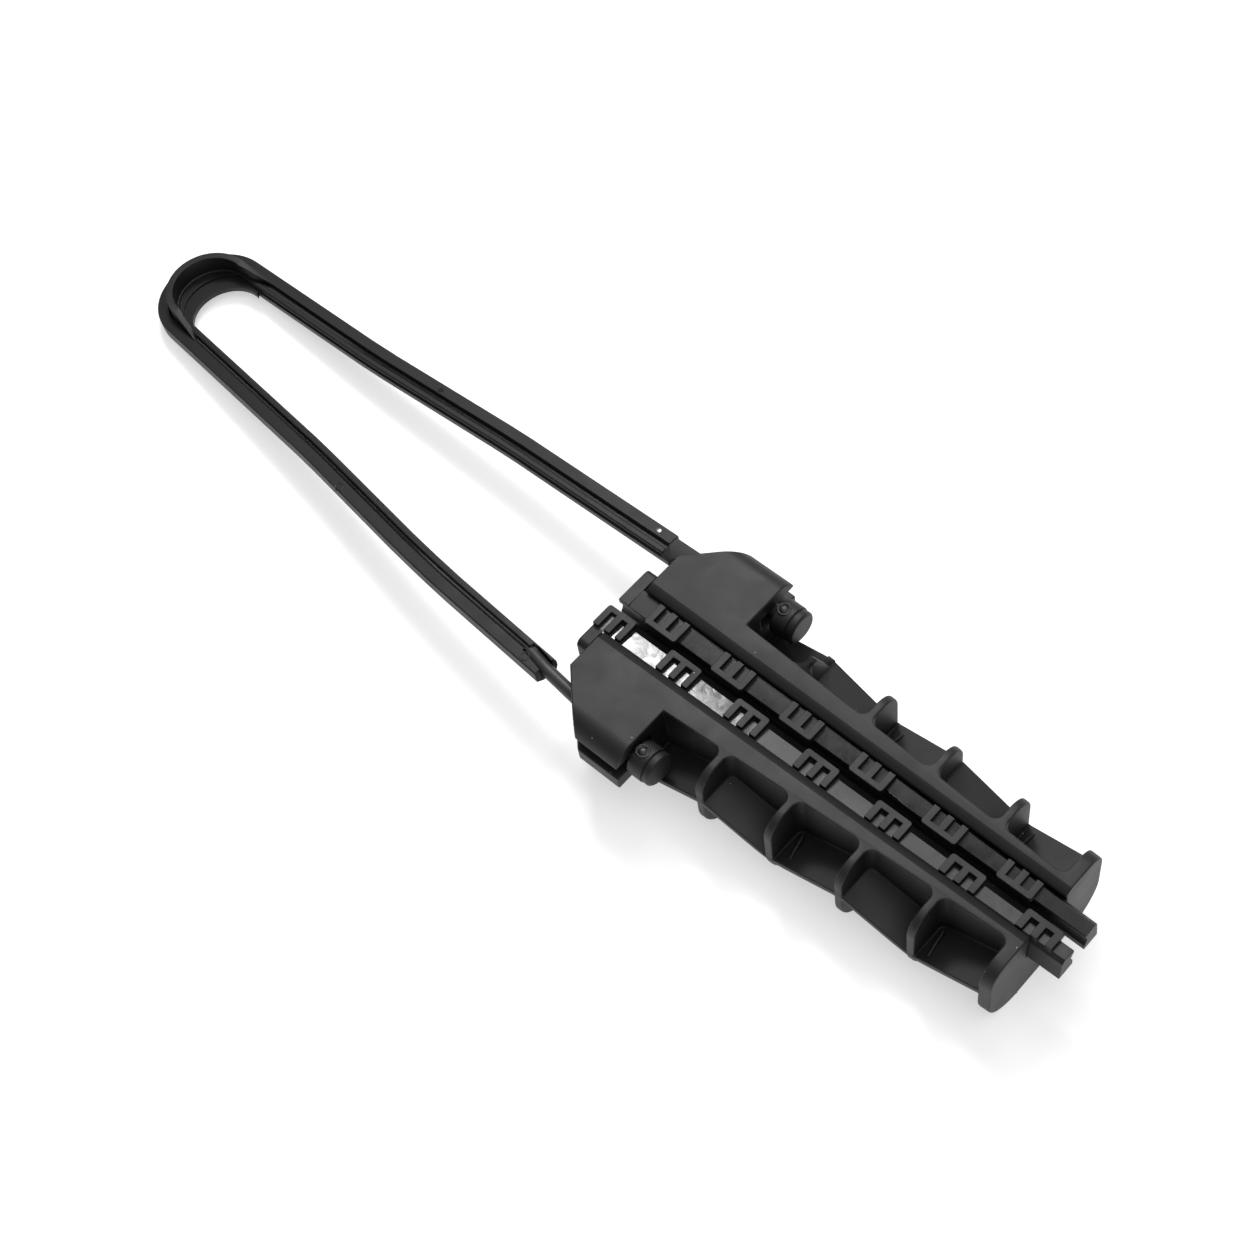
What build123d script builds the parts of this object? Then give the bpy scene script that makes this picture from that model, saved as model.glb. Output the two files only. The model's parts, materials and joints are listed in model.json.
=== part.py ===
from build123d import *
from math import asin, atan2, cos, hypot, radians, sin, tan
import os

os.makedirs("parts", exist_ok=True)

# Wedge anchor clamp for round aerial cable: ribbed channel body, two gripping wedges and a wire bail.

# Frame: +X runs from the bail to the narrow end, +Z up, z = 0 on the underside, x = 0 at mid head.

# Body envelope
BODY_FRONT = -20.0
BODY_LENGTH = 180.0
BODY_HEIGHT = 38.0
BODY_REAR = BODY_FRONT + BODY_LENGTH
ENVELOPE_FRONT = 37.7
ENVELOPE_REAR = 29.2
SHOULDER_RADIUS = 8.5
BILGE_RADIUS = 16.0
RAIL_FRONT = 23.5
RAIL_REAR = 14.1

# Ribs, end wall and side webs
RIB_FIRST = 43.3
RIB_PITCH = 28.6
RIB_THICKNESS = 3.0
END_WALL = 4.7
RIB_COUNT = 1 + int((BODY_REAR - END_WALL - RIB_FIRST) / RIB_PITCH)
RIB_FILLET = 3.0
RELIEF_TOP = 25.7
RELIEF_FOOT = 31.6
RELIEF_DEPTH = 12.3
WEB_LOW = 16.0
WEB_HIGH = 25.0
WEB_THICKNESS = 3.0
WEB_VALLEY_FILLET = 8.0
WEB_PEAK_FILLET = 4.0

# Head
HEAD_LENGTH = 37.1
HEAD_REAR = BODY_FRONT + HEAD_LENGTH
HEAD_NOSE = 28.0
HEAD_HALF_WIDTH = 46.5
HEAD_ROUND = 8.5
HEAD_DEPTH = 19.5
HEAD_REAR_WALL = 3.5
SLOT_DEPTH = 13.1
SLOT_FLOOR = BODY_HEIGHT - SLOT_DEPTH
SLOT_HEIGHT = 6.6
SLOT_BACKING = 7.6

# Channel
CHANNEL_FRONT = 12.6
CHANNEL_REAR = 9.6
CHANNEL_DEPTH = 14.5
CHANNEL_FLOOR = BODY_HEIGHT - CHANNEL_DEPTH
CHANNEL_FLARE = 0.96
LIP_DEPTH = 2.6
LIP_UNDERSIDE = BODY_HEIGHT - LIP_DEPTH
LIP_DROP = 1.3
LIP_FRONT = 10.7
LIP_REAR = 8.95
CREASE_FRONT = 14.1
CREASE_REAR = 12.1

# Underside cores
FLOOR_THICKNESS = 4.0
SIDE_WALL = 3.0
KEEL_THICKNESS = 3.0
NOSE_WALL = 4.0

# Wedges
WEDGE_PROUD_FRONT = 6.0
WEDGE_PROUD_REAR = 12.3
WEDGE_FRONT = BODY_FRONT - WEDGE_PROUD_FRONT
WEDGE_REAR = BODY_REAR + WEDGE_PROUD_REAR
WEDGE_CLEARANCE = 0.3
WEDGE_INNER = 3.0
WEDGE_LIP_GAP = 0.7
WEDGE_TOP = LIP_UNDERSIDE - WEDGE_LIP_GAP
WEDGE_SLOPE = 0.5
WEDGE_CHAMFER = 1.4
FLANGE_THICKNESS = 4.5
FLANGE_REACH = 19.0
FLANGE_CORNER = 2.5
CABLE_RADIUS = 4.2
CABLE_RISE = 6.0
FRAME_RISE = 1.8
FRAME_LENGTH = 14.0
FRAME_PITCH = 30.1
FRAME_RIB = 2.6
FRAME_CLEARANCE = 0.6
FRAME_OVERHANG = 1.0
FRAME_BAR = 2.2
FRAME_CORNER = 1.2
BAR_DEPTH = 0.7
NEAR_FRAME_LEAD = 1.4
FAR_FRAME_LAG = 13.6

# Bail wire
WIRE_RADIUS = 2.5
WIRE_INSET = 10.5
WIRE_SPAN = HEAD_HALF_WIDTH - WIRE_INSET
WIRE_HEIGHT = SLOT_FLOOR + SLOT_HEIGHT / 2
WIRE_EMBED = 8.0
WIRE_TURN = 5.0
WIRE_TURN_RADIUS = 25.0
NEAR_JOG_LEAD = 9.5
NEAR_JOG_SHIFT = 0.55
NEAR_JOG_RUN = 11.0
NEAR_JOG_INSET = 0.4
NEAR_JOG_DROP = 0.2
FAR_LEAD = 7.0
LOOP_START = 19.0
LOOP_SKEW = -3.6
BEND_DISTANCE = 243.7
BEND_RADIUS = 17.5
BEND_HEIGHT = 4.92
ARM_INSET = 3.45
ARM_SET_RADIUS = 900.0
NEAR_BOW_AT = 76.0
NEAR_BOW = 2.0
NEAR_DIP_AT = 150.0
NEAR_DIP = 0.5
FAR_INSET = 2.8
FAR_BOW_AT = 92.0
FAR_BOW = -1.0
FAR_DIP_AT = 165.0
FAR_DIP = 2.2

# Bail jacket, with sizes across an arm measured from the wire
NEAR_JACKET_START = 8.2
FAR_JACKET_START = 11.5
JACKET_OUTER = 5.7
JACKET_SKIRT = -1.2
JACKET_FOOT = 3.0
JACKET_BOTTOM = -2.85
BAND_TOP = 4.1
BAND_CHAMFER = 0.4
BAND_INNER = 1.2
GROOVE_OUTER = 0.4
GROOVE_FLOOR = 2.7
RIDGE_OUTER = -0.8
RIDGE_INNER = -3.2
RIDGE_TOP = 3.5
RIDGE_CHAMFER = 0.4
LIP_INNER = -3.95
LIP_TOP = 1.5
LIP_SKIRT = -0.9
CROWN_OUTER = 17.7
CROWN_INNER = 15.0
CROWN_TOP = 11.0
CROWN_HIP = 9.5
CROWN_RUN = 14.0
TOE_OUTER = 19.8
TOE_INNER = 18.2
STEP_RISE = 0.9
STEP_RADIUS = 16.2
STEP_SETBACK = 5.5
FLANGE_BOTTOM = -0.5
MOUTH_RADIUS = 14.3
MOUTH_SETBACK = 10.2
MOUTH_SHIFT = 1.5
MOUTH_RUN = 10.5
SEAT_OPENING = 5.4
NECK_OUTER = 4.8
NECK_TOP = 3.7
NECK_INNER_TOP = 2.7
NECK_LENGTH = 14.0
NECK_GAP = 4.7

# Bail stops
STOP_GAP_NEAR = 0.5
STOP_GAP_FAR = 2.0
STOP_RADIUS = 6.75
STOP_SLEEVE = 6.6
STOP_NECK = 0.5
STOP_NECK_DEPTH = 0.7
STOP_COLLAR = 2.9
STOP_COLLAR_RADIUS = 6.4
STOP_CHAMFER = 0.8

BEYOND = 60.0


def along(front, rear, x):
    """Value of a straight taper along the body."""
    return front + (rear - front) * (x - BODY_FRONT) / BODY_LENGTH


rib_centres = [RIB_FIRST + RIB_PITCH * i for i in range(RIB_COUNT)]
bay_starts = [HEAD_REAR] + [x + RIB_THICKNESS / 2 for x in rib_centres]
bay_ends = [x - RIB_THICKNESS / 2 for x in rib_centres] + [BODY_REAR - END_WALL]
bays = list(zip(bay_starts, bay_ends))

# Body: one moulding
with BuildPart() as envelope:
    for x in (HEAD_REAR - HEAD_REAR_WALL, BODY_REAR):
        with BuildSketch(Plane.YZ.offset(x)) as section:
            with Locations((0, BODY_HEIGHT / 2)):
                Rectangle(2 * along(ENVELOPE_FRONT, ENVELOPE_REAR, x), BODY_HEIGHT)
            fillet(section.vertices().group_by(Axis.Y)[-1], SHOULDER_RADIUS)
            fillet(section.vertices().group_by(Axis.Y)[0], BILGE_RADIUS)
    loft(ruled=True)

with BuildPart() as trunk:
    for x in (BODY_FRONT, BODY_REAR):
        with BuildSketch(Plane.YZ.offset(x)):
            with Locations((0, BODY_HEIGHT / 2)):
                Rectangle(2 * along(RAIL_FRONT, RAIL_REAR, x), BODY_HEIGHT)
    loft(ruled=True)

with BuildPart() as webs:
    web_x = [HEAD_REAR] + rib_centres + [BODY_REAR - END_WALL]
    web_z = [WEB_HIGH if i % 2 else WEB_LOW for i in range(len(web_x))]
    crest = list(zip(web_x, web_z))
    sole = [(x, z - WEB_THICKNESS) for x, z in reversed(crest)]
    with BuildSketch(Plane.XZ) as zigzag:
        with BuildLine():
            Polyline(*crest, *sole, close=True)
        make_face()
        turns = zigzag.vertices().filter_by_position(Axis.X, HEAD_REAR + 1, BODY_REAR - END_WALL - 1)
        middle = (WEB_LOW + WEB_HIGH - WEB_THICKNESS) / 2
        fillet([v for v in turns if v.Y < middle], WEB_VALLEY_FILLET)
        fillet([v for v in turns if v.Y > middle], WEB_PEAK_FILLET)
    extrude(amount=BEYOND, both=True)
    add(envelope.part, mode=Mode.INTERSECT)
    add(trunk.part, mode=Mode.SUBTRACT)

with BuildPart() as head:
    with BuildSketch(Plane.YZ.offset(BODY_FRONT)) as block:
        with Locations((0, BODY_HEIGHT - HEAD_DEPTH / 2)):
            Rectangle(2 * HEAD_HALF_WIDTH, HEAD_DEPTH)
        fillet(block.vertices().group_by(Axis.Y)[-1], HEAD_ROUND)
    extrude(amount=HEAD_LENGTH)
    shoulder = BODY_FRONT + HEAD_HALF_WIDTH - HEAD_NOSE
    with BuildSketch(Plane.XY):
        with BuildLine():
            Polyline(
                (BODY_FRONT, HEAD_NOSE),
                (shoulder, HEAD_HALF_WIDTH),
                (BODY_FRONT, HEAD_HALF_WIDTH),
                close=True,
            )
        make_face()
        mirror(about=Plane.XZ)
    extrude(amount=BODY_HEIGHT, mode=Mode.SUBTRACT)

with BuildPart() as body:
    add(envelope.part)
    with BuildSketch(Plane.XY) as pockets:
        for start, end in bays:
            with BuildLine():
                Polyline(
                    (start, along(RAIL_FRONT, RAIL_REAR, start)),
                    (end, along(RAIL_FRONT, RAIL_REAR, end)),
                    (end, BEYOND),
                    (start, BEYOND),
                    close=True,
                )
            make_face()
        rail_corners = pockets.vertices().filter_by_position(Axis.Y, 0, BEYOND - 1)
        fillet(rail_corners.filter_by_position(Axis.X, RIB_FIRST - RIB_THICKNESS, BODY_REAR), RIB_FILLET)
        mirror(about=Plane.XZ)
    extrude(amount=BODY_HEIGHT, mode=Mode.SUBTRACT)
    with BuildSketch(Plane.YZ.offset(RIB_FIRST - RIB_THICKNESS)):
        with BuildLine():
            Polyline(
                (RELIEF_TOP, BODY_HEIGHT),
                (RELIEF_FOOT, BODY_HEIGHT - RELIEF_DEPTH),
                (BEYOND, BODY_HEIGHT - RELIEF_DEPTH),
                (BEYOND, BODY_HEIGHT),
                close=True,
            )
        make_face()
    extrude(amount=2 * RIB_THICKNESS, mode=Mode.SUBTRACT)
    add(trunk.part)
    add(webs.part)
    add(head.part)
    with BuildSketch(Plane.XY.offset(SLOT_FLOOR)):
        slot_x = BODY_FRONT + HEAD_LENGTH / 2
        slot_y = WIRE_SPAN - SLOT_BACKING + BEYOND / 2
        with Locations((slot_x, slot_y), (slot_x, -slot_y)):
            Rectangle(HEAD_LENGTH + 2, BEYOND)
    extrude(amount=SLOT_HEIGHT, mode=Mode.SUBTRACT)
    with BuildPart(mode=Mode.SUBTRACT) as channel:
        for x in (BODY_FRONT - 1, BODY_REAR + 1):
            half = along(CHANNEL_FRONT, CHANNEL_REAR, x)
            lip = along(LIP_FRONT, LIP_REAR, x)
            crease = along(CREASE_FRONT, CREASE_REAR, x)
            with BuildSketch(Plane.YZ.offset(x)):
                with BuildLine():
                    Polyline(
                        (0, CHANNEL_FLOOR),
                        (half + CHANNEL_FLARE, CHANNEL_FLOOR),
                        (half, LIP_UNDERSIDE),
                        (lip, LIP_UNDERSIDE),
                        (lip, BODY_HEIGHT - LIP_DROP),
                        (crease, BODY_HEIGHT),
                        (0, BODY_HEIGHT),
                        close=True,
                    )
                make_face()
                mirror(about=Plane.YZ)
        loft(ruled=True)
    with BuildSketch(Plane.XY):
        for start, end in [(BODY_FRONT + NOSE_WALL, HEAD_REAR - HEAD_REAR_WALL)] + bays:
            with BuildLine():
                Polyline(
                    (start, KEEL_THICKNESS / 2),
                    (end, KEEL_THICKNESS / 2),
                    (end, along(RAIL_FRONT, RAIL_REAR, end) - SIDE_WALL),
                    (start, along(RAIL_FRONT, RAIL_REAR, start) - SIDE_WALL),
                    close=True,
                )
            make_face()
        mirror(about=Plane.XZ)
    extrude(amount=CHANNEL_FLOOR - FLOOR_THICKNESS, mode=Mode.SUBTRACT)

body.part.label = "body"
export_step(body.part, "parts/body.step")


def wedge_stock(side):
    """Plain wedge with its flange on one side of the cable; side is +1 or -1."""
    with BuildPart() as stock:
        floor = CHANNEL_FLOOR + WEDGE_CLEARANCE
        for x in (WEDGE_FRONT, WEDGE_REAR):
            outer = along(CHANNEL_FRONT, CHANNEL_REAR, x) - WEDGE_CLEARANCE
            with BuildSketch(Plane.YZ.offset(x)):
                with BuildLine():
                    Polyline(
                        (side * WEDGE_INNER, floor),
                        (side * (outer + CHANNEL_FLARE), floor),
                        (side * outer, WEDGE_TOP - WEDGE_CHAMFER),
                        (side * (outer - WEDGE_CHAMFER), WEDGE_TOP),
                        (side * WEDGE_INNER, WEDGE_TOP - WEDGE_SLOPE),
                        close=True,
                    )
                make_face()
        loft(ruled=True)
        with BuildSketch(Plane.YZ.offset(WEDGE_FRONT)) as flange:
            with Locations((side * (WEDGE_INNER + FLANGE_REACH) / 2, (floor + WEDGE_TOP) / 2)):
                Rectangle(FLANGE_REACH - WEDGE_INNER, WEDGE_TOP - floor)
            outer_corners = [v for v in flange.vertices() if abs(v.X) > FLANGE_REACH - 1]
            fillet(outer_corners, FLANGE_CORNER)
        extrude(amount=FLANGE_THICKNESS)
        with BuildSketch(Plane.YZ.offset(WEDGE_FRONT)):
            with Locations((0, CHANNEL_FLOOR + CABLE_RISE)):
                Circle(CABLE_RADIUS)
        extrude(amount=WEDGE_REAR - WEDGE_FRONT, mode=Mode.SUBTRACT)
    return stock.part


def wedge_frames(side, start):
    """Ladder frames on the wedge's top that reach from the cable gap to the body's lip."""
    with BuildPart() as frames:
        count = 1 + int((WEDGE_REAR - start - FRAME_LENGTH) / FRAME_PITCH)
        for i in range(count):
            left = max(start + FRAME_PITCH * i, WEDGE_FRONT)
            right = start + FRAME_PITCH * i + FRAME_LENGTH
            middle = (left + right) / 2
            with BuildSketch(Plane.XY.offset(WEDGE_TOP - BAR_DEPTH)):
                for x in (left + FRAME_RIB / 2, middle, right - FRAME_RIB / 2):
                    reach = along(LIP_FRONT, LIP_REAR, x) - FRAME_CLEARANCE
                    with Locations((x, side * (WEDGE_INNER + reach) / 2)):
                        Rectangle(FRAME_RIB, reach - WEDGE_INNER)
                with BuildSketch(mode=Mode.PRIVATE) as bar:
                    with Locations((middle, side * (FRAME_OVERHANG + FRAME_BAR / 2))):
                        Rectangle(right - left, FRAME_BAR)
                    gap_corners = [v for v in bar.vertices() if abs(v.Y) < FRAME_OVERHANG + FRAME_BAR / 2]
                    fillet(gap_corners, FRAME_CORNER)
                add(bar.sketch)
            extrude(amount=FRAME_RISE + BAR_DEPTH)
    return frames.part


with BuildPart() as wedge_near:
    add(wedge_stock(-1))
    add(wedge_frames(-1, WEDGE_FRONT - NEAR_FRAME_LEAD))

wedge_near.part.label = "wedge_near"
export_step(wedge_near.part, "parts/wedge_near.step")

with BuildPart() as wedge_far:
    add(wedge_stock(1))
    add(wedge_frames(1, WEDGE_FRONT + FAR_FRAME_LAG))

wedge_far.part.label = "wedge_far"
export_step(wedge_far.part, "parts/wedge_far.step")

# Bail: the loop lies in a plane that is skewed about Z and runs down from the head to the bend
skew = radians(LOOP_SKEW)
tilt = asin((WIRE_HEIGHT - BEND_HEIGHT) / BEND_DISTANCE)
ahead = Vector(-cos(skew), -sin(skew), 0)
loop_plane = Plane(
    origin=ahead * LOOP_START + Vector(0, 0, WIRE_HEIGHT),
    x_dir=ahead * cos(tilt) - Vector(0, 0, sin(tilt)),
    z_dir=ahead * sin(tilt) + Vector(0, 0, cos(tilt)),
)
loop_up = loop_plane.z_dir


def on_loop(u, v):
    """Point of the loop plane: u towards the bend, v towards the near arm."""
    return loop_plane.from_local_coords(Vector(u, v, 0))


def meeting_angle(u, v):
    """Angle to the loop's axis of the line from a point that meets the bend's circle."""
    run = BEND_DISTANCE - u
    return atan2(v, run) - asin(BEND_RADIUS / hypot(run, v))


arm_spread = WIRE_SPAN - ARM_INSET
arm_slope = tan(meeting_angle(NEAR_JACKET_START, arm_spread))


def arm_line(u):
    """Half spread of straight arms at a distance along the loop."""
    return arm_spread - (u - NEAR_JACKET_START) * arm_slope


def arm_corners(side, sets):
    """Corners of one arm's centre line from its jacket end to the bend; side is +1 near, -1 far."""
    points = [(u, arm_line(u) + bow) for u, bow in sets]
    angle = meeting_angle(*points[-1])
    points.append((BEND_DISTANCE + BEND_RADIUS * sin(angle), BEND_RADIUS * cos(angle)))
    return [on_loop(u, side * v) for u, v in points]


def section_plane(origin, direction, side):
    """Plane across an arm: x outwards from the loop, y up from it."""
    outward = side * loop_up.cross(direction.normalized())
    return Plane(origin=origin, x_dir=outward, z_dir=outward.cross(loop_up))


near_sets = [(NEAR_BOW_AT, NEAR_BOW), (NEAR_DIP_AT, -NEAR_DIP)]
far_sets = [(FAR_BOW_AT, FAR_BOW), (FAR_DIP_AT, -FAR_DIP)]
near_arm = arm_corners(1, [(NEAR_JACKET_START, 0)] + near_sets)
far_arm = arm_corners(-1, [(FAR_JACKET_START, -FAR_INSET)] + far_sets)
near_wire = arm_corners(1, [(NEAR_JACKET_START + NEAR_JOG_RUN, 0)] + near_sets)
near_across = section_plane(near_arm[0], near_arm[1] - near_arm[0], 1)
near_wire[0] = near_wire[0] - near_across.x_dir * NEAR_JOG_INSET

near_end = Vector(HEAD_REAR + STOP_GAP_NEAR + WIRE_EMBED, -WIRE_SPAN, WIRE_HEIGHT)
near_turn = Vector(HEAD_REAR - WIRE_TURN, -WIRE_SPAN, WIRE_HEIGHT)
near_jog = Vector(BODY_FRONT - NEAR_JOG_LEAD, near_arm[0].Y - NEAR_JOG_SHIFT, WIRE_HEIGHT - NEAR_JOG_DROP)
far_end = Vector(HEAD_REAR + STOP_GAP_FAR + WIRE_EMBED, WIRE_SPAN, WIRE_HEIGHT)
far_turn = Vector(HEAD_REAR - WIRE_TURN, WIRE_SPAN, WIRE_HEIGHT)
far_run = far_arm[1] - far_arm[0]
far_wire = [far_arm[0] - far_run.normalized() * FAR_LEAD] + far_arm[1:]
near_radii = [WIRE_TURN_RADIUS] * 3 + [ARM_SET_RADIUS] * len(near_sets)
far_radii = [ARM_SET_RADIUS] * len(far_sets) + [WIRE_TURN_RADIUS] * 2

with BuildPart() as bail_wire:
    with BuildLine() as run:
        FilletPolyline(near_end, near_turn, near_jog, *near_wire, radius=near_radii)
        ThreePointArc(near_arm[-1], on_loop(BEND_DISTANCE + BEND_RADIUS, 0), far_arm[-1])
        FilletPolyline(*reversed(far_wire), far_turn, far_end, radius=far_radii)
    with BuildSketch(Plane(origin=near_end, z_dir=(-1, 0, 0))):
        Circle(WIRE_RADIUS)
    sweep(path=run.wire())

bail_wire.part.label = "bail_wire"
export_step(bail_wire.part, "parts/bail_wire.step")

jacket_outline = [
    (JACKET_FOOT, JACKET_BOTTOM),
    (JACKET_OUTER, JACKET_SKIRT),
    (JACKET_OUTER, BAND_TOP - BAND_CHAMFER),
    (JACKET_OUTER - BAND_CHAMFER, BAND_TOP),
    (BAND_INNER, BAND_TOP),
    (GROOVE_OUTER, GROOVE_FLOOR),
    (RIDGE_OUTER, GROOVE_FLOOR),
    (RIDGE_OUTER, RIDGE_TOP - RIDGE_CHAMFER),
    (RIDGE_OUTER - RIDGE_CHAMFER, RIDGE_TOP),
    (RIDGE_INNER + RIDGE_CHAMFER, RIDGE_TOP),
    (RIDGE_INNER, RIDGE_TOP - RIDGE_CHAMFER),
    (RIDGE_INNER, LIP_TOP),
    (LIP_INNER, LIP_TOP),
    (LIP_INNER, LIP_SKIRT),
    (-JACKET_FOOT, JACKET_BOTTOM),
]
neck_outline = [
    (JACKET_FOOT, JACKET_BOTTOM),
    (NECK_OUTER, JACKET_SKIRT),
    (NECK_OUTER, NECK_TOP),
    (BAND_INNER, NECK_TOP),
    (RIDGE_INNER, NECK_INNER_TOP),
    (LIP_INNER, LIP_TOP),
    (LIP_INNER, LIP_SKIRT),
    (-JACKET_FOOT, JACKET_BOTTOM),
]


def jacket_section(plane, outline=jacket_outline):
    """Section of the jacket: flat outer band, groove down to the wire, inner ridge and lip."""
    with BuildSketch(plane) as section:
        with BuildLine():
            Polyline(*outline, close=True)
        make_face()
    return section.sketch


def jacket_arm(side, corners):
    """One arm of the jacket."""
    with BuildPart() as arm:
        with BuildLine() as axis:
            FilletPolyline(*corners, radius=[ARM_SET_RADIUS] * (len(corners) - 2))
        across = section_plane(corners[0], corners[1] - corners[0], side)
        sweep(jacket_section(across), path=axis.wire())
    return arm.part


def saddle_plate(low, rise, cut_at, cut_radius):
    """Plate inside the bend with a round edge towards the arms, from a low height up by its rise."""
    with BuildPart() as plate:
        with BuildSketch(loop_plane.offset(low)):
            with Locations((BEND_DISTANCE, 0)):
                Circle(BEND_RADIUS)
            with Locations((BEND_DISTANCE - MOUTH_RUN / 2, 0)):
                Rectangle(MOUTH_RUN, 2 * BEND_RADIUS)
            with Locations(cut_at):
                Circle(cut_radius, mode=Mode.SUBTRACT)
        extrude(amount=rise)
    return plate.part


with BuildPart() as crown:
    toe = BEND_DISTANCE - CROWN_RUN
    with BuildSketch(loop_plane):
        with Locations((BEND_DISTANCE, 0)):
            Circle(CROWN_OUTER)
            Circle(CROWN_INNER, mode=Mode.SUBTRACT)
        with Locations((BEND_DISTANCE - CROWN_OUTER / 2, 0)):
            Rectangle(CROWN_OUTER, 2 * CROWN_OUTER, mode=Mode.SUBTRACT)
        with BuildLine():
            Polyline(
                (BEND_DISTANCE, CROWN_INNER),
                (BEND_DISTANCE, CROWN_OUTER),
                (toe, TOE_OUTER),
                (toe, TOE_INNER),
                close=True,
            )
        make_face()
        mirror(about=Plane.XZ)
    extrude(amount=CROWN_TOP)
    with BuildSketch(Plane(origin=loop_plane.origin, x_dir=loop_plane.x_dir, z_dir=-loop_plane.y_dir)):
        with BuildLine():
            Polyline(
                (toe, 0),
                (toe, BAND_TOP),
                (BEND_DISTANCE, CROWN_HIP),
                (BEND_DISTANCE + CROWN_OUTER, CROWN_TOP),
                (BEND_DISTANCE + CROWN_OUTER, 0),
                close=True,
            )
        make_face()
    extrude(amount=BEYOND, both=True, mode=Mode.INTERSECT)

with BuildPart() as neck:
    extrude(
        jacket_section(section_plane(far_arm[0], far_run, -1), neck_outline),
        amount=NECK_LENGTH,
        dir=-far_run,
    )
    with BuildSketch(Plane.XY):
        with BuildLine():
            Polyline(
                (BODY_FRONT - NECK_GAP - HEAD_NOSE, 0),
                (BODY_FRONT - NECK_GAP - HEAD_NOSE + BEYOND, BEYOND),
                (BEYOND, BEYOND),
                (BEYOND, 0),
                close=True,
            )
        make_face()
    extrude(amount=BODY_HEIGHT, mode=Mode.SUBTRACT)

with BuildPart() as bail_jacket:
    add(jacket_arm(1, near_arm))
    add(jacket_arm(-1, far_arm))
    meeting_plane = section_plane(near_arm[-1], near_arm[-1] - near_arm[-2], 1)
    bend_axis = Axis(origin=on_loop(BEND_DISTANCE, 0), direction=-loop_up)
    opening = (near_arm[-1] - near_arm[-2]).get_angle(far_arm[-1] - far_arm[-2])
    revolve(jacket_section(meeting_plane), axis=bend_axis, revolution_arc=180 - opening)
    add(crown.part)
    mouth_at = (BEND_DISTANCE - MOUTH_SETBACK, MOUTH_SHIFT)
    add(saddle_plate(FLANGE_BOTTOM, LIP_TOP - FLANGE_BOTTOM, mouth_at, MOUTH_RADIUS))
    add(saddle_plate(LIP_TOP, STEP_RISE, (BEND_DISTANCE - STEP_SETBACK, 0), STEP_RADIUS))
    add(neck.part)
    with BuildSketch(Plane.XY.offset(near_wire[0].Z)):
        with BuildLine():
            Polyline(
                (near_turn.X, near_turn.Y),
                (near_jog.X, near_jog.Y),
                (near_wire[0].X, near_wire[0].Y),
            )
        trace(line_width=SEAT_OPENING)
    extrude(amount=BODY_HEIGHT, mode=Mode.SUBTRACT)
    add(bail_wire.part, mode=Mode.SUBTRACT)

bail_jacket.part.label = "bail_jacket"
export_step(bail_jacket.part, "parts/bail_jacket.step")


def stop_barrel(side, front):
    """Moulded stop on one wire end, behind the head; front is its face towards the head."""
    with BuildPart() as barrel:
        sleeve_end = front + STOP_SLEEVE
        neck_end = sleeve_end + STOP_NECK
        collar_end = neck_end + STOP_COLLAR
        y = side * WIRE_SPAN
        with BuildSketch(Plane.XY.offset(WIRE_HEIGHT)):
            with BuildLine():
                Polyline(
                    (front, y),
                    (front, y + STOP_RADIUS - STOP_CHAMFER),
                    (front + STOP_CHAMFER, y + STOP_RADIUS),
                    (sleeve_end, y + STOP_RADIUS),
                    (sleeve_end, y + STOP_RADIUS - STOP_NECK_DEPTH),
                    (neck_end, y + STOP_RADIUS - STOP_NECK_DEPTH),
                    (neck_end, y + STOP_COLLAR_RADIUS),
                    (collar_end - STOP_CHAMFER, y + STOP_COLLAR_RADIUS),
                    (collar_end, y + STOP_COLLAR_RADIUS - STOP_CHAMFER),
                    (collar_end, y),
                    close=True,
                )
            make_face()
        revolve(axis=Axis((0, y, WIRE_HEIGHT), (1, 0, 0)))
        add(bail_wire.part, mode=Mode.SUBTRACT)
    return barrel.part


with BuildPart() as stop_near:
    add(stop_barrel(-1, HEAD_REAR + STOP_GAP_NEAR))

stop_near.part.label = "stop_near"
export_step(stop_near.part, "parts/stop_near.step")

with BuildPart() as stop_far:
    add(stop_barrel(1, HEAD_REAR + STOP_GAP_FAR))

stop_far.part.label = "stop_far"
export_step(stop_far.part, "parts/stop_far.step")
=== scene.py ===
"""Wedge anchor clamp for aerial cable, dressed for a studio picture: body, wedges and wire bail."""
import json
import logging
import math
from dataclasses import dataclass
from enum import Enum

import bmesh
import bpy
from mathutils import Matrix, Vector
from mathutils.bvhtree import BVHTree

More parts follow.
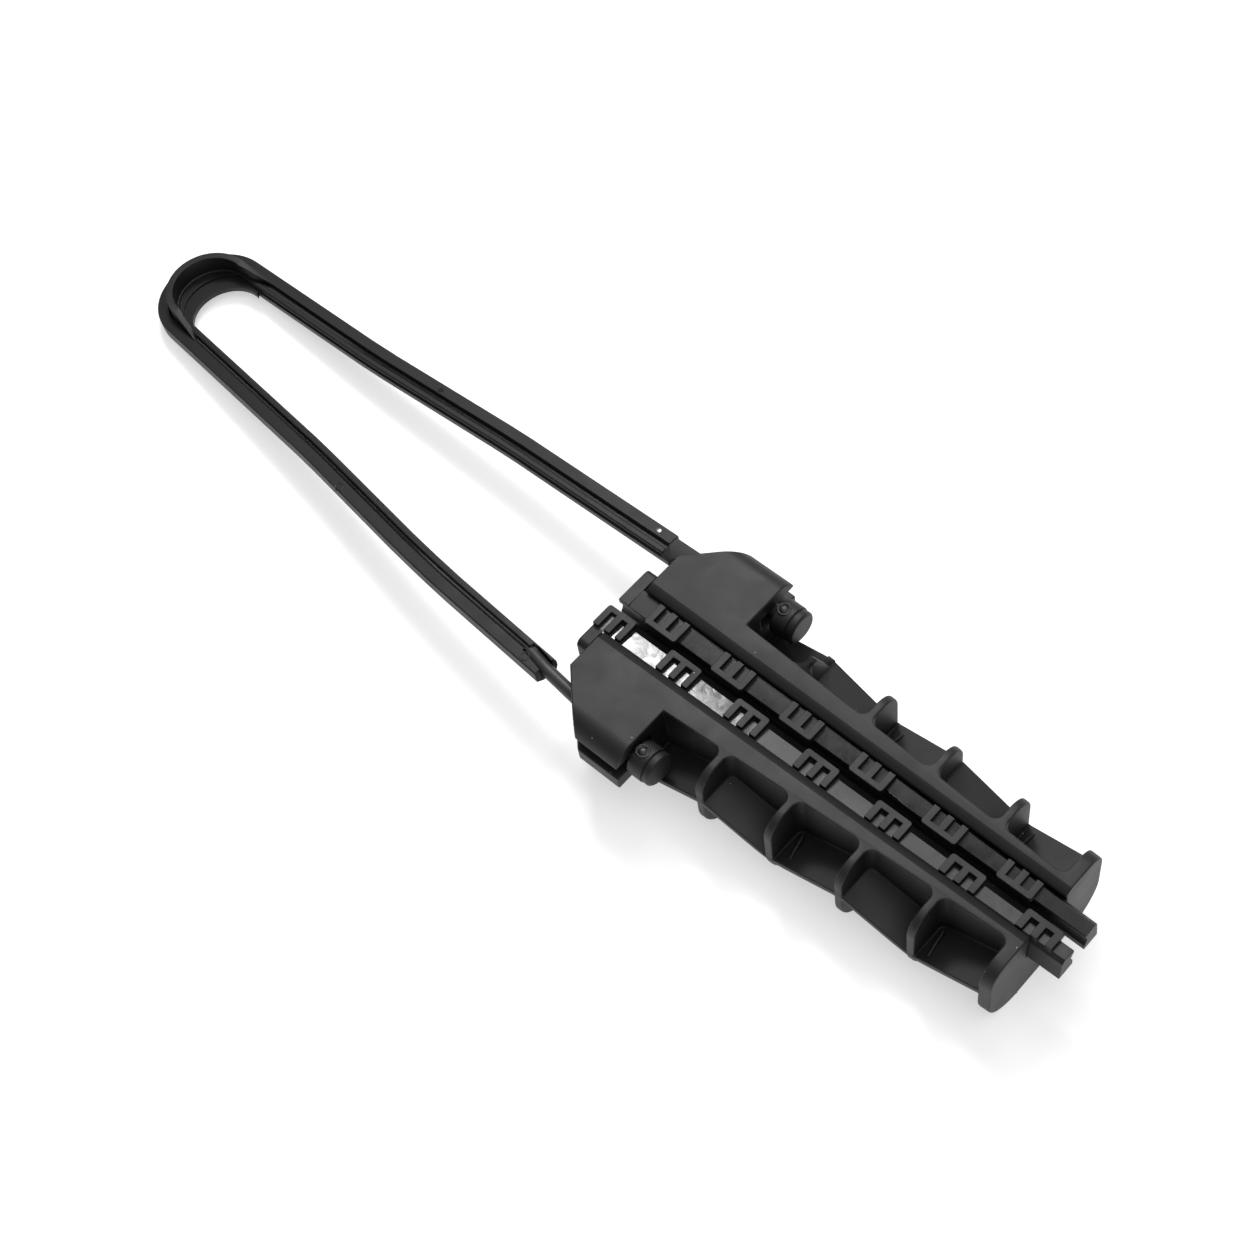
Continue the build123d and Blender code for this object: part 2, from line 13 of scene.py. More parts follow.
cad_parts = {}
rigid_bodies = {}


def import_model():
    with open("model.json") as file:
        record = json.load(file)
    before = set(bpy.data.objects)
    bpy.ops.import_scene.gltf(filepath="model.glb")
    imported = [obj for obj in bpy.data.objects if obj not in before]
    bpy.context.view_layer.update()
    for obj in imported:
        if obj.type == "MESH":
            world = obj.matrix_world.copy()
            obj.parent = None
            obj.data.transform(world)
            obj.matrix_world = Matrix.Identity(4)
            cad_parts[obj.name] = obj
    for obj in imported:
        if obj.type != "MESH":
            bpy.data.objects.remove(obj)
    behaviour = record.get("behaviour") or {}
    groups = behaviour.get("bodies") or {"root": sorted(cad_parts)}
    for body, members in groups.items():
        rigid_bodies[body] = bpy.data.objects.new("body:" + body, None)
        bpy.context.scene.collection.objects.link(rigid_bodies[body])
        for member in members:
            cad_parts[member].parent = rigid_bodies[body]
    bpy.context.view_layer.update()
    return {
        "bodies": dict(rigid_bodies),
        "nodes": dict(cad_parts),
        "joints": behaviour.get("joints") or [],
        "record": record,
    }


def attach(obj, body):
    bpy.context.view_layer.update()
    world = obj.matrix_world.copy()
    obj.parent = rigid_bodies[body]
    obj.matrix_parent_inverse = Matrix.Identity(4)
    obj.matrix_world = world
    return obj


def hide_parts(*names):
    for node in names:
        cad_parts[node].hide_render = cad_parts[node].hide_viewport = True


LOG = logging.getLogger("anchor_clamp")
MM = 0.001
# Edges that turn by more than this keep a crease in the shading
CREASE_DEG = 50.0
# Well above the clamp, where a look straight down starts
LOOK_HEIGHT_MM = 100.0
DOWN = Vector((0, 0, -1))


def linear(hex_colour: str) -> tuple[float, float, float, float]:
    """Turn an sRGB hex colour into a linear RGBA.

    Args:
        hex_colour: six hex digits with a leading hash.

    Returns:
        The linear colour with an alpha of one.
    """
    channels = []
    for start in (1, 3, 5):
        value = int(hex_colour[start:start + 2], 16) / 255
        channels.append(value / 12.92 if value <= 0.04045 else ((value + 0.055) / 1.055) ** 2.4)
    return (*channels, 1.0)


def add_node(tree: bpy.types.NodeTree, kind: str, settings: dict, links: dict) -> bpy.types.Node:
    """Add a node with its settings and links.

    Args:
        tree: the tree that takes the node.
        kind: the node's type name.
        settings: values of sockets, by input name or index, and of the node's own properties.
        links: sockets that feed the node, by input name or index.

    Returns:
        The new node.
    """
    node = tree.nodes.new(kind)
    for key, value in settings.items():
        if isinstance(key, str) and hasattr(node, key):
            setattr(node, key, value)
        else:
            node.inputs[key].default_value = value
    for key, socket in links.items():
        tree.links.new(socket, node.inputs[key])
    return node


class Body(Enum):
    """The rigid bodies that pieces ride on."""

    CLAMP = "body"
    WEDGE_NEAR = "wedge_near"
    WEDGE_FAR = "wedge_far"
    BAIL = "bail"


@dataclass(frozen=True)
class Finish:
    """A surface with a fine grain and faint flow clouds, and with ripples or dust where given."""

    name: str
    colour: str
    tint: str
    roughness: float
    roughness_spread: float
    grain_mm: float
    grain_depth_mm: float
    cloud_mm: float
    cloud_detail: float = 4.0
    cloud_range: tuple[float, float] = (0.35, 0.65)
    ripple_depth_mm: float = 0.0
    speck_mm: float = 0.0
    speck_spacing_mm: float = 7.0
    speck_colour: str = "#a6a6a2"
    metallic: float = 0.0
    ior: float = 1.53

    def build(self) -> bpy.types.Material:
        """Make the material, or give back the one made before.

        Returns:
            A material whose grain, clouding and sheen follow the piece.
        """
        if self.name in bpy.data.materials:
            return bpy.data.materials[self.name]
        material = bpy.data.materials.new(self.name)
        material.use_nodes = True
        tree = material.node_tree
        tree.nodes.clear()
        place = add_node(tree, "ShaderNodeTexCoord", {}, {}).outputs["Object"]
        grain = add_node(
            tree,
            "ShaderNodeTexNoise",
            {"Scale": 1 / (self.grain_mm * MM), "Detail": 3.0, "Roughness": 0.6},
            {"Vector": place},
        ).outputs["Fac"]
        cloud = add_node(
            tree,
            "ShaderNodeTexNoise",
            {"Scale": 1 / (self.cloud_mm * MM), "Detail": self.cloud_detail, "Distortion": 0.8},
            {"Vector": place},
        ).outputs["Fac"]
        colour = add_node(
            tree,
            "ShaderNodeMix",
            {"data_type": "RGBA", 6: linear(self.colour), 7: linear(self.tint)},
            {0: cloud},
        ).outputs[2]
        if self.speck_mm:
            away = add_node(
                tree,
                "ShaderNodeTexVoronoi",
                {"Scale": 1 / (self.speck_spacing_mm * MM)},
                {"Vector": place},
            ).outputs["Distance"]
            speck = add_node(
                tree,
                "ShaderNodeMath",
                {"operation": "LESS_THAN", 1: self.speck_mm / 2 / self.speck_spacing_mm},
                {0: away},
            ).outputs[0]
            colour = add_node(
                tree,
                "ShaderNodeMix",
                {"data_type": "RGBA", 7: linear(self.speck_colour)},
                {0: speck, 6: colour},
            ).outputs[2]
        rough = add_node(
            tree,
            "ShaderNodeMapRange",
            {
                "From Min": self.cloud_range[0],
                "From Max": self.cloud_range[1],
                "To Min": self.roughness - self.roughness_spread,
                "To Max": self.roughness + self.roughness_spread,
            },
            {"Value": cloud},
        ).outputs["Result"]
        normal = add_node(
            tree,
            "ShaderNodeBump",
            {"Strength": 1.0, "Distance": self.grain_depth_mm * MM},
            {"Height": grain},
        ).outputs["Normal"]
        if self.ripple_depth_mm:
            normal = add_node(
                tree,
                "ShaderNodeBump",
                {"Strength": 1.0, "Distance": self.ripple_depth_mm * MM},
                {"Height": cloud, "Normal": normal},
            ).outputs["Normal"]
        shader = add_node(
            tree,
            "ShaderNodeBsdfPrincipled",
            {"IOR": self.ior, "Metallic": self.metallic},
            {"Base Color": colour, "Roughness": rough, "Normal": normal},
        )
        add_node(tree, "ShaderNodeOutputMaterial", {}, {"Surface": shader.outputs["BSDF"]})
        return material


def make_object(name: str, form: bmesh.types.BMesh, *finishes: Finish) -> bpy.types.Object:
    """Turn a mesh into a smooth object of the scene.

    Args:
        name: the object's name.
        form: the mesh, which is freed.
        finishes: the finishes that its faces name by number.

    Returns:
        The new object.
    """
    data = bpy.data.meshes.new(name)
    form.to_mesh(data)
    form.free()
    for finish in finishes:
        data.materials.append(finish.build())
    data.shade_smooth()
    made = bpy.data.objects.new(name, data)
    bpy.context.scene.collection.objects.link(made)
    LOG.info("%s: %d faces", name, len(data.polygons))
    return made


def look_down(solid: bpy.types.Object, place_mm: tuple[float, float]) -> tuple[Vector, Vector]:
    """Find what lies under a place, seen from straight above.

    Args:
        solid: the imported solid's object.
        place_mm: the place's x and y, in millimetres.

    Returns:
        The point on the solid, and the normal there.
    """
    form = bmesh.new()
    form.from_mesh(solid.data)
    tree = BVHTree.FromBMesh(form)
    form.free()
    point, normal, _, _ = tree.ray_cast(Vector((*place_mm, LOOK_HEIGHT_MM)) * MM, DOWN)
    return point, normal


@dataclass
class Moulding:
    """One moulded piece, taken from its solid and given the small radii of moulded edges."""

    node: str
    piece: str
    body: Body
    slot: str
    finish: Finish
    edge_radius_mm: float
    others: tuple[Finish, ...] = ()
    edge_segments: int = 2
    sharp_deg: float = 30.0
    weld_mm: float = 0.002
    flat_deg: float = 0.6
    stray: float = 0.8

    def copy(self, solid: bpy.types.Object) -> bmesh.types.BMesh:
        """Copy the solid and merge its facets into whole faces.

        Args:
            solid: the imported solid's object.

        Returns:
            The merged mesh.
        """
        form = bmesh.new()
        form.from_mesh(solid.data)
        bmesh.ops.remove_doubles(form, verts=form.verts, dist=self.weld_mm * MM)
        bmesh.ops.dissolve_limit(
            form,
            angle_limit=math.radians(self.flat_deg),
            verts=form.verts,
            edges=form.edges,
        )
        return form

    def shape(self, form: bmesh.types.BMesh) -> None:
        """Add what the moulding has beyond its solid; a plain moulding has nothing more.

        Args:
            form: the merged mesh.
        """

    def finish_of(self, face: bmesh.types.BMFace) -> int:
        """Choose a face's finish; a plain moulding has only its first.

        Args:
            face: the face before its edges are rounded.

        Returns:
            The finish's number.
        """
        return 0

    def stays_sharp(self, middle: Vector) -> bool:
        """Tell whether an edge is left as the mould cut it; a plain moulding has none.

        Args:
            middle: the edge's middle, in millimetres.

        Returns:
            True where no radius is wanted.
        """
        return False

    def round_edges(self, form: bmesh.types.BMesh) -> None:
        """Round the sharp edges, and lay corners that had no room for it back on the solid.

        Args:
            form: the mesh to round.
        """
        plain = BVHTree.FromBMesh(form)
        lowest = min(vert.co.z for vert in form.verts)
        limit = math.radians(self.sharp_deg)
        sharp = [
            edge
            for edge in form.edges
            if edge.is_manifold
            and edge.calc_face_angle() > limit
            and not self.stays_sharp((edge.verts[0].co + edge.verts[1].co) / (2 * MM))
        ]
        bmesh.ops.bevel(
            form,
            geom=sharp,
            offset=self.edge_radius_mm * MM,
            offset_type="OFFSET",
            affect="EDGES",
            segments=self.edge_segments,
            profile=0.5,
            material=-1,
            clamp_overlap=False,
        )
        for vert in form.verts:
            place, _, _, gap = plain.find_nearest(vert.co)
            if gap > self.stray * self.edge_radius_mm * MM or vert.co.z < lowest:
                vert.co = place
        many_sided = [face for face in form.faces if len(face.verts) > 4]
        bmesh.ops.triangulate(
            form, faces=many_sided, quad_method="BEAUTY", ngon_method="EAR_CLIP"
        )

    def build(self, frame: dict) -> bpy.types.Object:
        """Make the piece and put it in the place of its solid.


        Returns:
            The finished piece.
        """
        form = self.copy(frame["nodes"][self.node])
        self.shape(form)
        for face in form.faces:
            face.material_index = self.finish_of(face)
        self.round_edges(form)
        piece = make_object(self.piece, form, self.finish, *self.others)
        piece.data.set_sharp_from_angle(angle=math.radians(CREASE_DEG))
        weight = piece.modifiers.new("flat_faces", "WEIGHTED_NORMAL")
        weight.keep_sharp = True
        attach(piece, self.body.value)
        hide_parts(self.node)
        return piece


@dataclass
class ClampBody(Moulding):
    """The ribbed body, whose channel lips slope down in a band given a duller, darker nylon as
    painted shade.
    """

    lip_slope: tuple[float, float] = (0.85, 0.975)
    lip_reach_mm: float = 16.0
    lip_foot_mm: float = 36.0
    relief_x_mm: float = 43.3
    relief_reach_mm: float = 4.0
    relief_from_mm: tuple[float, float] = (20.0, 24.0)
    slot_end_mm: tuple[float, float] = (-19.8, 28.2)
    slot_end_reach_mm: float = 0.5

    def finish_of(self, face: bmesh.types.BMFace) -> int:
        """Give the two sloped lip bands the second finish, whose darker colour is painted shade."""
        middle = face.calc_center_median() / MM
        # Faces picked by their slope get the darker nylon: painted shade on the lip bands
        slopes = self.lip_slope[0] < face.normal.z < self.lip_slope[1]
        on_lip = abs(middle.y) < self.lip_reach_mm and middle.z > self.lip_foot_mm
        return int(slopes and on_lip)

    def stays_sharp(self, middle: Vector) -> bool:
        """Keep the relief cut in the first far rib and the thin ends of the slots sharp."""
        away_x = abs(middle.x - self.slot_end_mm[0])
        away_y = abs(abs(middle.y) - self.slot_end_mm[1])
        slot_end = max(away_x, away_y) < self.slot_end_reach_mm
        least_y, least_z = self.relief_from_mm
        beside = abs(middle.x - self.relief_x_mm) < self.relief_reach_mm
        return slot_end or beside and middle.y > least_y and middle.z > least_z


@dataclass
class GripWedge(Moulding):
    """A grip wedge: dull frames and ends, with smoother strips between the frames."""

    strip_low_mm: float = 33.9
    strip_high_mm: float = 34.9
    strip_level: float = 0.97
    strip_starts_mm: tuple[float, ...] = (-21.4, 40.0)
    first_window_mm: tuple[float, float] = (-23.5, -10.1)

    def shape(self, form: bmesh.types.BMesh) -> None:
        """Part the strips from the plain end and from each other, and the first window's floor.

        Args:
            form: the merged wedge.
        """
        for start in self.strip_starts_mm:
            bmesh.ops.bisect_plane(
                form,
                geom=[*form.verts, *form.edges, *form.faces],
                plane_co=(start * MM, 0, 0),
                plane_no=(1, 0, 0),
            )
        ends = [face for face in form.faces if self.is_plain_end(face)]
        around = {part for face in ends for part in (*face.verts, *face.edges)}
        bmesh.ops.bisect_plane(
            form,
            geom=[*around, *ends],
            plane_co=(0, self.first_window_mm[1] * MM, 0),
            plane_no=(0, 1, 0),
        )

    def is_level(self, face: bmesh.types.BMFace) -> bool:
        """Tell whether a face lies level, at the height of the strips.

        Args:
            face: the face in question.

        Returns:
            True for the strips and for the plain end before them.
        """
        height = face.calc_center_median().z / MM
        return self.strip_low_mm < height < self.strip_high_mm and face.normal.z > self.strip_level

    def is_plain_end(self, face: bmesh.types.BMFace) -> bool:
        """Tell whether a face lies level with the strips, before the first of them.

        Args:
            face: the face in question.

        Returns:
            True for the plain end.
        """
        return self.is_level(face) and face.calc_center_median().x / MM < self.strip_starts_mm[0]

    def finish_of(self, face: bmesh.types.BMFace) -> int:
        """Give each strip the finish that starts there, and the first window's floor the first."""
        middle = face.calc_center_median() / MM
        if not self.is_level(face):
            return 0
        if self.is_plain_end(face):
            window_x, window_y = self.first_window_mm
            return int(middle.x > window_x and middle.y > window_y)
        return sum(middle.x > start for start in self.strip_starts_mm)


@dataclass
class BailJacket(Moulding):
    """The jacket over the wire, with the groove that the wire was pressed in through."""

    loop_start_mm: float = 19.0
    loop_skew_deg: float = -3.6
    wire_height_mm: float = 28.2
    bend_height_mm: float = 4.92
    bend_distance_mm: float = 243.7
    groove_floor_mm: float = 2.7
    groove_floor_reach_mm: float = 0.02
    groove_drop_mm: float = 0.9
    groove_end_mm: float = -30.0
    toe_mm: float = 229.7
    toe_reach_mm: float = 0.05
    toe_inner_mm: float = 18.9
    toe_near_mm: float = 19.5
    toe_far_mm: float = -19.17
    mouth_mm: tuple[float, float] = (-40.0, -30.0)
    mouth_reach_mm: tuple[float, float] = (1.5, 4.0)

    def shape(self, form: bmesh.types.BMesh) -> None:
        """Sink the groove's floor until the wire shows, and run the crown's toes out to nothing.

        Args:
            form: the merged jacket.
        """
        skew = math.radians(self.loop_skew_deg)
        tilt = math.asin((self.wire_height_mm - self.bend_height_mm) / self.bend_distance_mm)
        ahead = Vector((-math.cos(skew), -math.sin(skew), 0))
        start = ahead * self.loop_start_mm + Vector((0, 0, self.wire_height_mm))
        up = ahead * math.sin(tilt) + Vector((0, 0, math.cos(tilt)))
        floor = []
        for vert in form.verts:
            rise = (vert.co / MM - start).dot(up)
            on_floor = abs(rise - self.groove_floor_mm) < self.groove_floor_reach_mm
            if on_floor and vert.co.x / MM < self.groove_end_mm:
                floor.append(vert)
        bmesh.ops.translate(form, verts=floor, vec=-up * self.groove_drop_mm * MM)
        along = ahead * math.cos(tilt) - Vector((0, 0, math.sin(tilt)))
        across = up.cross(along)
        for vert in form.verts:
            run = (vert.co / MM - start).dot(along)
            side = (vert.co / MM - start).dot(across)
            if abs(run - self.toe_mm) < self.toe_reach_mm and abs(side) < self.toe_inner_mm:
                edge = self.toe_near_mm if side > 0 else self.toe_far_mm
                vert.co += across * (edge - side) * MM

    def stays_sharp(self, middle: Vector) -> bool:
        """Keep the thin lips of the mouth that lets the near wire out sharp."""
        beside_x = abs(middle.x - self.mouth_mm[0]) < self.mouth_reach_mm[0]
        beside_y = abs(middle.y - self.mouth_mm[1]) < self.mouth_reach_mm[1]
        return beside_x and beside_y


@dataclass
class Gusset:
    """A low fin that stiffens the fold of a side web, thin at its top and low at its outer end."""

    piece: str
    inner_mm: tuple[float, float]
    outer_mm: tuple[float, float]
    finish: Finish
    foot_mm: float = 2.4
    crest_mm: float = 0.7
    inner_rise_mm: float = 2.6
    outer_rise_mm: float = 0.5
    sunk_mm: float = 0.8
    edge_radius_mm: float = 0.25

    def build(self, frame: dict) -> bpy.types.Object:
        """Shape the fin from a block and stand it on the web.


        Returns:
            The finished fin.
        """
        web = frame["nodes"]["body"]
        ends = [look_down(web, place)[0] / MM for place in (self.inner_mm, self.outer_mm)]
        form = bmesh.new()
        bmesh.ops.create_cube(form, size=1.0)
        for vert in form.verts:
            end = ends[int(vert.co.y > 0)]
            rise = self.outer_rise_mm if vert.co.y > 0 else self.inner_rise_mm
            width = self.crest_mm if vert.co.z > 0 else self.foot_mm
            height = rise if vert.co.z > 0 else -self.sunk_mm
            vert.co = (end + Vector((vert.co.x * width, 0, height))) * MM
        bmesh.ops.recalc_face_normals(form, faces=form.faces)
        bmesh.ops.bevel(
            form,
            geom=form.edges[:],
            offset=self.edge_radius_mm * MM,
            affect="EDGES",
            segments=2,
            profile=0.5,
            material=-1,
            clamp_overlap=True,
        )
        piece = make_object(self.piece, form, self.finish)
        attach(piece, Body.CLAMP.value)
        return piece


@dataclass
class PinMark:
    """A small round mark of the mould or a pin end, on the face under a given place."""

    piece: str
    node: str
    body: Body
    slot: str
    finish: Finish
    place_mm: tuple[float, float]
    outline_mm: tuple[tuple[float, float], ...]
    stretch: float = 1.0
    steps: int = 32
    weld_mm: float = 0.001

    def build(self, frame: dict) -> bpy.types.Object:
        """Turn the mark's outline about its axis and set it on the solid.


        Returns:
            The finished mark.
        """
        place, normal = look_down(frame["nodes"][self.node], self.place_mm)
        form = bmesh.new()
        corners = [(radius * MM, 0, height * MM) for radius, height in self.outline_mm]
        verts = [form.verts.new(corner) for corner in corners]
        edges = [form.edges.new(pair) for pair in zip(verts, verts[1:])]
        bmesh.ops.spin(
            form,
            geom=verts + edges,
            cent=(0, 0, 0),
            axis=(0, 0, 1),
            angle=math.tau,
            steps=self.steps,
            use_merge=True,
        )
        bmesh.ops.remove_doubles(form, verts=form.verts, dist=self.weld_mm * MM)
        bmesh.ops.recalc_face_normals(form, faces=form.faces)
        stretch = Matrix.Diagonal((self.stretch, 1, 1, 1))
        turn = normal.to_track_quat("Z", "Y").to_matrix().to_4x4()
        move = Matrix.Translation(place) @ turn @ stretch
        bmesh.ops.transform(form, verts=form.verts, matrix=move)
        piece = make_object(self.piece, form, self.finish)
        piece.data.set_sharp_from_angle(angle=math.radians(CREASE_DEG))
        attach(piece, self.body.value)
        return piece


@dataclass
class Studio:
    """White sweep, three soft lamps, even fill and the camera that took the picture."""

    azimuth_deg: float = 51.642
    elevation_deg: float = 58.628
    roll_deg: float = -11.156
    target_mm: tuple[float, float, float] = (-14.433, -4.935, 38.0)
    distance_mm: float = 801.44
    focal_px: float = 2337.477
    image_px: int = 1254
    sensor_mm: float = 36.0
    clip_m: tuple[float, float] = (0.01, 50.0)
    key_from: tuple[float, float, float] = (-0.464, 0.399, 0.796)
    key_size_m: float = 0.3
    key_watts: float = 6.4
    panel_from: tuple[float, float, float] = (-0.25, 0.5, 0.83)
    panel_size_m: float = 0.8
    panel_watts: float = 8.2
    top_from: tuple[float, float, float] = (0.25, 0.0, 0.97)
    top_size_m: float = 1.4
    top_watts: float = 8.0
    lamp_distance_m: float = 1.6
    fill: float = 0.19
    sweep_m: float = 6.0
    paper_glow: float = 0.53

    def camera(self) -> None:
        """Place the camera as the picture shows."""
        azimuth = math.radians(self.azimuth_deg)
        elevation = math.radians(self.elevation_deg)
        roll = math.radians(self.roll_deg)
        level = math.cos(elevation)
        back = Vector(
            (level * math.sin(azimuth), -level * math.cos(azimuth), math.sin(elevation))
        )
        right = (-back).cross(Vector((0, 0, 1))).normalized()
        up = right.cross(-back)
        right, up = (
            math.cos(roll) * right + math.sin(roll) * up,
            -math.sin(roll) * right + math.cos(roll) * up,
        )
        data = bpy.data.cameras.new("studio_camera")
        data.sensor_width = self.sensor_mm
        data.lens = self.focal_px / self.image_px * self.sensor_mm
        data.clip_start, data.clip_end = self.clip_m
        camera = bpy.data.objects.new("studio_camera", data)
        turn = Matrix((right, up, back)).transposed().to_4x4()
        place = (Vector(self.target_mm) + back * self.distance_mm) * MM
        camera.matrix_world = Matrix.Translation(place) @ turn
        bpy.context.scene.collection.objects.link(camera)
        bpy.context.scene.camera = camera

    def softbox(self, name: str, direction: Vector, size: float, power: float) -> None:
        """Hang a square soft lamp that faces the clamp.

        Args:
            name: the lamp's name.
            direction: from the clamp towards the lamp.
            size: the side of its square, in metres.
            power: its light, in watts.
        """
        data = bpy.data.lights.new(name, "AREA")
        data.shape = "SQUARE"
        data.size = size
        data.energy = power
        lamp = bpy.data.objects.new(name, data)
        lamp.location = direction.normalized() * self.lamp_distance_m
        lamp.rotation_mode = "QUATERNION"
        lamp.rotation_quaternion = direction.to_track_quat("Z", "Y")
        bpy.context.scene.collection.objects.link(lamp)

    def floor(self) -> None:
        """Lay the pale sweep under the clamp, with a glow that lifts it to white in the picture."""
        form = bmesh.new()
        bmesh.ops.create_grid(form, x_segments=1, y_segments=1, size=self.sweep_m)
        data = bpy.data.meshes.new("sweep")
        form.to_mesh(data)
        form.free()
        material = bpy.data.materials.new("white_paper")
        material.use_nodes = True
        tree = material.node_tree
        tree.nodes.clear()
        path = add_node(tree, "ShaderNodeLightPath", {}, {}).outputs
        seen = add_node(
            tree,
            "ShaderNodeMath",
            {"operation": "MAXIMUM"},
            {0: path["Is Camera Ray"], 1: path["Is Glossy Ray"]},
        ).outputs[0]
        strength = add_node(
            tree, "ShaderNodeMath", {"operation": "MULTIPLY", 1: self.paper_glow}, {0: seen}
        ).outputs[0]
        glow = add_node(
            tree, "ShaderNodeEmission", {"Color": linear("#ffffff")}, {"Strength": strength}
        ).outputs[0]
        paper = add_node(
            tree, "ShaderNodeBsdfDiffuse", {"Color": linear("#f0f0f0")}, {}
        ).outputs[0]
        both = add_node(tree, "ShaderNodeAddShader", {}, {0: glow, 1: paper}).outputs[0]
        add_node(tree, "ShaderNodeOutputMaterial", {}, {"Surface": both})
        data.materials.append(material)
        sweep = bpy.data.objects.new("sweep", data)
        bpy.context.scene.collection.objects.link(sweep)

    def world(self) -> None:
        """Fill the studio with even white light, and show white behind the clamp."""
        world = bpy.data.worlds.new("white_studio")
        world.use_nodes = True
        tree = world.node_tree
        tree.nodes.clear()
        path = add_node(tree, "ShaderNodeLightPath", {}, {}).outputs
        strength = add_node(
            tree,
            "ShaderNodeMapRange",
            {"To Min": self.fill, "To Max": 1.0},
            {"Value": path["Is Camera Ray"]},
        ).outputs["Result"]
        light = add_node(
            tree, "ShaderNodeBackground", {"Color": linear("#ffffff")}, {"Strength": strength}
        ).outputs[0]
        add_node(tree, "ShaderNodeOutputWorld", {}, {"Surface": light})
        bpy.context.scene.world = world

    def build(self) -> None:
        """Set up the whole studio."""
        bpy.context.scene.view_settings.view_transform = "Standard"
        self.camera()
        self.floor()
        self.world()
        self.softbox("key_softbox", Vector(self.key_from), self.key_size_m, self.key_watts)
        self.softbox("back_panel", Vector(self.panel_from), self.panel_size_m, self.panel_watts)
        self.softbox("top_softbox", Vector(self.top_from), self.top_size_m, self.top_watts)


# Glass-filled nylon from a spark-eroded mould: nearly black, dull, with a very fine grain and dust
CLAMP_NYLON = Finish(
    "glass_filled_nylon", "#121213", "#18181a", 0.55, 0.03, 0.35, 0.006, 14.0, speck_mm=0.45
)
# The same nylon, rougher and duller, slightly darker and with a weaker sheen: painted shade on the
# sloped lip bands, also used for the disc mark on the arm
SHADED_LIP_NYLON = Finish(
    "dull_nylon_painted_shade", "#0f0f11", "#151517", 0.66, 0.03, 0.35, 0.008, 14.0, ior=1.38
)
# Strips from a polished mould, which mirror the lamp in streaks where the skin shrank unevenly
WEDGE_NYLON = Finish(
    "polished_nylon",
    "#141312",
    "#1c1b19",
    0.15,
    0.06,
    0.5,
    0.0005,
    5.0,
    cloud_detail=1.5,
    ripple_depth_mm=0.06,
)
# Strips with a satin skin, which spreads the lamps into an even grey
SATIN_NYLON = Finish(
    "satin_nylon", "#131314", "#19191a", 0.25, 0.06, 0.5, 0.0008, 6.0, ior=1.38
)
# The jacket's nylon, from a smoother mould: as black, without the body's dust, with less sheen
JACKET_NYLON = Finish(
    "jacket_nylon", "#111112", "#161617", 0.5, 0.04, 0.35, 0.004, 14.0, ior=1.44
)
# Extruded coat of the wire: smooth, a little softer than the mouldings
WIRE_COAT = Finish("coated_wire", "#131314", "#171718", 0.45, 0.05, 0.4, 0.006, 12.0)
# Marks that the ejector pins press: the nylon skin is smoother there
PIN_NYLON = Finish("pressed_nylon", "#131314", "#19191b", 0.4, 0.05, 0.4, 0.004, 6.0)
# Turned end of a steel pin: bright, with a soft mirror; a metal keeps the shader's own IOR
PIN_STEEL = Finish(
    "steel", "#b9b8b4", "#cfcec9", 0.32, 0.06, 0.3, 0.002, 1.5, metallic=1.0, ior=1.5
)

# Outlines of the round marks: radius and height of each corner, in millimetres
RING = ((1.8, -0.1), (1.95, 0.1), (2.2, 0.16), (2.45, 0.08), (2.65, -0.3))
DOME = ((0.0, 0.4), (0.6, 0.36), (1.2, 0.2), (1.6, -0.05), (1.8, -0.3))
SMALL_RING = ((1.35, -0.05), (1.45, 0.14), (1.62, 0.2), (1.8, 0.12), (1.9, -0.2))
PIN_END = ((0.0, 0.3), (0.75, 0.3), (1.0, 0.15), (1.05, -0.2))
DISC = ((0.0, 0.06), (1.1, 0.06), (1.3, -0.2))

# What a mark stands on: the node, its body and its slot
ON_NEAR_STOP = ("stop_near", Body.BAIL, "stop_plastic")
ON_FAR_STOP = ("stop_far", Body.BAIL, "stop_plastic")
ON_JACKET = ("bail_jacket", Body.BAIL, "jacket_plastic")


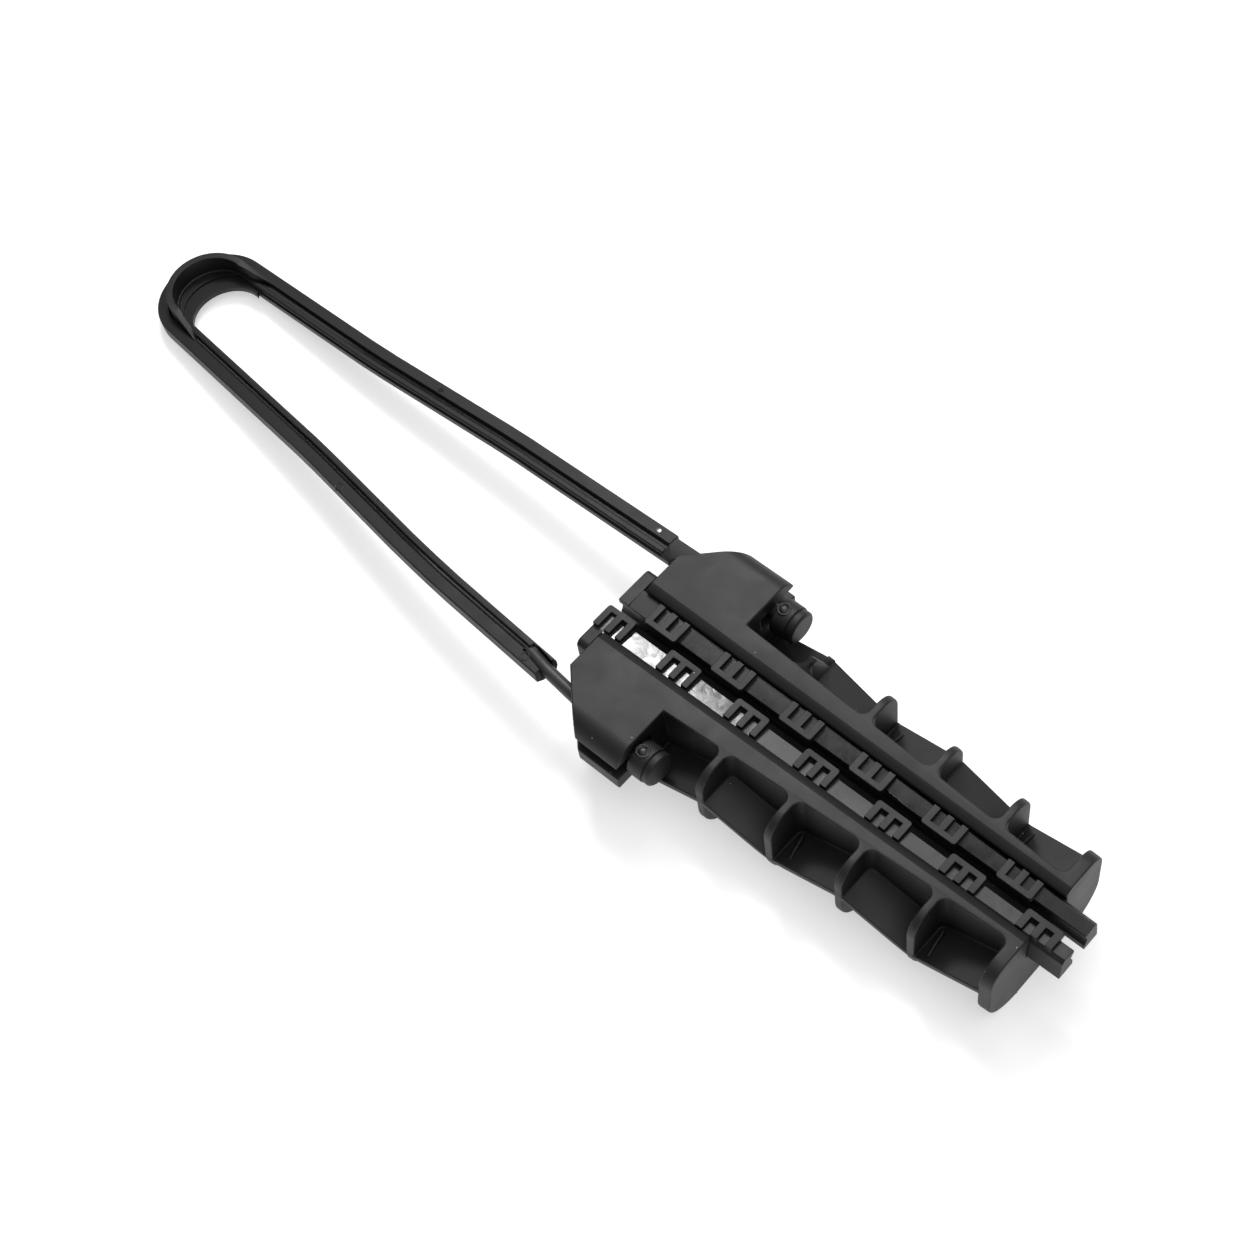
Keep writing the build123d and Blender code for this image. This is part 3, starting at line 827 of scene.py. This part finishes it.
def main() -> None:
    """Build the clamp's pieces in order, light them and log their face counts."""
    logging.basicConfig(level=logging.INFO, format="%(message)s")
    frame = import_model()
    pieces = [
        ClampBody("body", "clamp_body", Body.CLAMP, "body_plastic", CLAMP_NYLON, 0.6, (SHADED_LIP_NYLON,)),
        GripWedge(
            "wedge_near",
            "grip_wedge_near",
            Body.WEDGE_NEAR,
            "wedge_plastic",
            CLAMP_NYLON,
            0.2,
            (WEDGE_NYLON, SATIN_NYLON),
        ),
        GripWedge(
            "wedge_far",
            "grip_wedge_far",
            Body.WEDGE_FAR,
            "wedge_plastic",
            CLAMP_NYLON,
            0.2,
            (SATIN_NYLON,),
            strip_starts_mm=(-12.0,),
            first_window_mm=(-12.0, 0.0),
        ),
        Moulding("bail_wire", "wire", Body.BAIL, "coated_wire", WIRE_COAT, 0.2),
        BailJacket("bail_jacket", "jacket", Body.BAIL, "jacket_plastic", JACKET_NYLON, 0.08),
        Moulding("stop_near", "barrel_near", Body.BAIL, "stop_plastic", CLAMP_NYLON, 0.2),
        Moulding("stop_far", "barrel_far", Body.BAIL, "stop_plastic", CLAMP_NYLON, 0.2),
        Gusset("gusset_near_2", (76.7, -21.0), (78.2, -30.0), CLAMP_NYLON),
        Gusset("gusset_near_4", (133.3, -18.2), (134.4, -28.0), CLAMP_NYLON),
        Gusset("gusset_far_2", (76.7, 21.0), (78.2, 30.0), CLAMP_NYLON),
        Gusset("gusset_far_4", (133.3, 18.2), (134.4, 28.0), CLAMP_NYLON),
        PinMark("ring_near", *ON_NEAR_STOP, PIN_NYLON, (20.5, -36.2), RING, 1.1),
        PinMark("dome_near", *ON_NEAR_STOP, PIN_NYLON, (20.5, -36.2), DOME),
        PinMark("ring_far", *ON_FAR_STOP, PIN_NYLON, (21.6, 35.5), RING),
        PinMark("dome_far", *ON_FAR_STOP, PIN_NYLON, (21.6, 35.5), DOME),
        PinMark("ring_end", *ON_JACKET, PIN_NYLON, (-37.8, -33.2), SMALL_RING),
        PinMark("ring_arm", *ON_JACKET, PIN_NYLON, (-147.4, -20.3), SMALL_RING),
        PinMark("disc_arm", *ON_JACKET, SHADED_LIP_NYLON, (-148.6, 35.2), DISC),
        PinMark("pin_end", *ON_JACKET, PIN_STEEL, (-35.8, 34.6), PIN_END),
    ]
    for piece in pieces:
        piece.build(frame)
    Studio().build()


if __name__ == "__main__":
    main()
